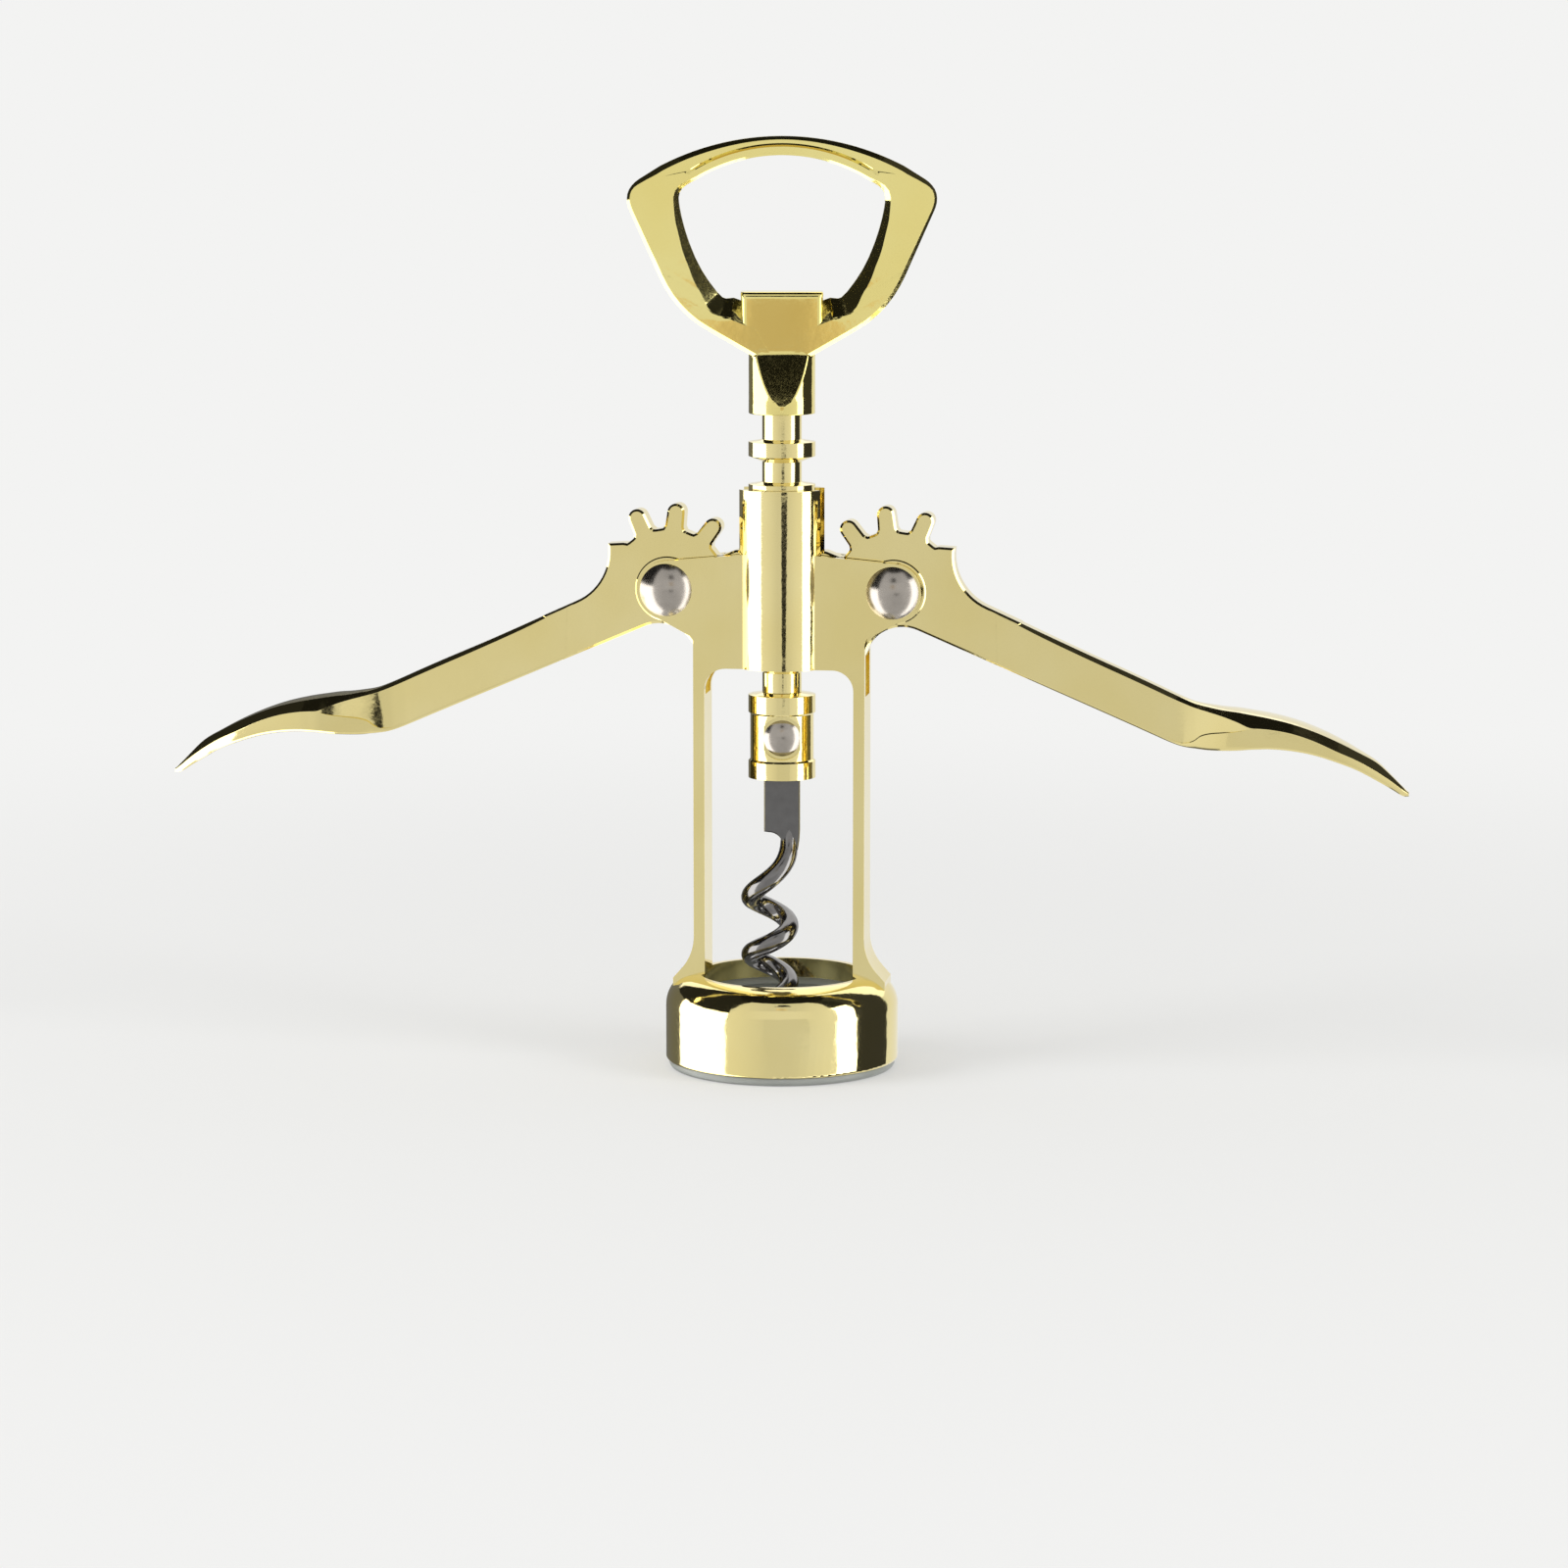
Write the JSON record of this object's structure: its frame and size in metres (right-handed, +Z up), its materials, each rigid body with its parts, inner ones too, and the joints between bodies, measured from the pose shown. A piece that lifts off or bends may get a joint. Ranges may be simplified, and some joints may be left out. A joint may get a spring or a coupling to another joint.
{
  "type": "wing corkscrew",
  "caption": "Wing corkscrew with a bell for the bottle's lip, geared levers, a ringed spindle, a helical worm and a ring handle that lifts caps.",
  "frame": {"origin": "on the spindle's axis, in the underside of the plastic insert, which stands on a table or over a bottle", "axes": "+Z up along the spindle, +X along the right lever, -Y the front"},
  "size_m": [0.202, 0.0376, 0.1493],
  "materials": {
    "gilt_casting": "polished, pale gold plate over a die casting",
    "insert_plastic": "smooth moulded grey",
    "rivet_steel": "tumbled, nickel-bright",
    "worm_steel": "drawn and plated wire"
  },
  "bodies": {
    "frame": {"frame": "gilt_casting", "bell_insert": "insert_plastic", "pivot_rivets": "rivet_steel"},
    "rack": {"spindle": "gilt_casting"},
    "screw": {"handle": "gilt_casting", "worm_holder": "gilt_casting", "worm_rivet": "rivet_steel", "worm": "worm_steel"},
    "lever_left": {"lever_left": "gilt_casting"},
    "lever_right": {"lever_right": "gilt_casting"}
  },
  "joints": [
    {"name": "lever_right_pivot", "type": "hinge", "parent": "frame", "child": "lever_right", "pos_m": [0.0182, 0, 0.0774], "axis": [0, 1, 0], "range_deg": [-94.5, 50]},
    {"name": "lever_left_pivot", "type": "hinge", "parent": "frame", "child": "lever_left", "pos_m": [-0.0182, 0, 0.0774], "axis": [0, -1, 0], "range_deg": [-94.5, 50]},
    {"name": "spindle_slide", "type": "slide", "parent": "frame", "child": "rack", "axis": [0, 0, 1], "range_m": [-0.02127, 0.01126]},
    {"name": "screw_spin", "type": "hinge", "parent": "rack", "child": "screw", "pos_m": [0, 0, 0.11], "axis": [0, 0, 1], "continuous": true}
  ],
  "couplings": [
    {"joint": "lever_left_pivot", "follows": "lever_right_pivot", "ratio": 1},
    {"joint": "spindle_slide", "follows": "lever_right_pivot", "m_per_rad": 0.012892}
  ]
}
